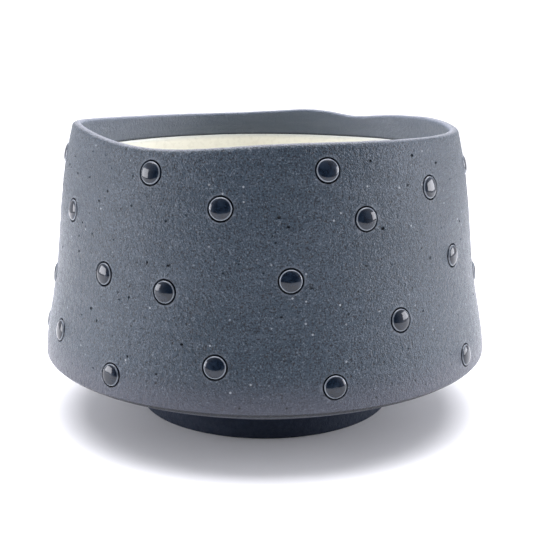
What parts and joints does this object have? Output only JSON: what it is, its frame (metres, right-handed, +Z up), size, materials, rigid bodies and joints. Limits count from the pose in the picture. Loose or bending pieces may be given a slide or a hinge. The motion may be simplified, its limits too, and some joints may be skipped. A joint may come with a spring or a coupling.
{
  "type": "empty candle jar",
  "caption": "Empty stoneware candle jar with a wide shoulder, small foot ring, wavy lip, cream liner glaze and glossy domed studs set in round sockets.",
  "frame": {"origin": "centre of the foot ring's flat underside, on the jar's turning axis", "axes": "+Z up along the turning axis; -Y is the front, the side with the lowest stretch of lip; +X to the right of it"},
  "size_m": [0.1114, 0.1114, 0.0719],
  "materials": {
    "dark_stoneware": "satin, fine grain, unglazed",
    "cream_glaze": "smooth satin glaze",
    "black_glaze": "glossy"
  },
  "bodies": {
    "root": {"jar_body": "dark_stoneware", "liner_glaze": "cream_glaze", "stud_01": "black_glaze", "stud_02": "black_glaze", "stud_03": "black_glaze", "stud_04": "black_glaze", "stud_05": "black_glaze", "stud_06": "black_glaze", "stud_07": "black_glaze", "stud_08": "black_glaze", "stud_09": "black_glaze", "stud_10": "black_glaze", "stud_11": "black_glaze", "stud_12": "black_glaze", "stud_13": "black_glaze", "stud_14": "black_glaze", "stud_15": "black_glaze", "stud_16": "black_glaze", "stud_17": "black_glaze", "stud_18": "black_glaze", "stud_19": "black_glaze", "stud_20": "black_glaze", "stud_21": "black_glaze", "stud_22": "black_glaze", "stud_23": "black_glaze", "stud_24": "black_glaze", "stud_25": "black_glaze", "stud_26": "black_glaze", "stud_27": "black_glaze", "stud_28": "black_glaze", "stud_29": "black_glaze", "stud_30": "black_glaze", "stud_31": "black_glaze", "stud_32": "black_glaze", "stud_33": "black_glaze", "stud_34": "black_glaze", "stud_35": "black_glaze", "stud_36": "black_glaze", "stud_37": "black_glaze", "stud_38": "black_glaze", "stud_39": "black_glaze", "stud_40": "black_glaze"}
  },
  "joints": []
}
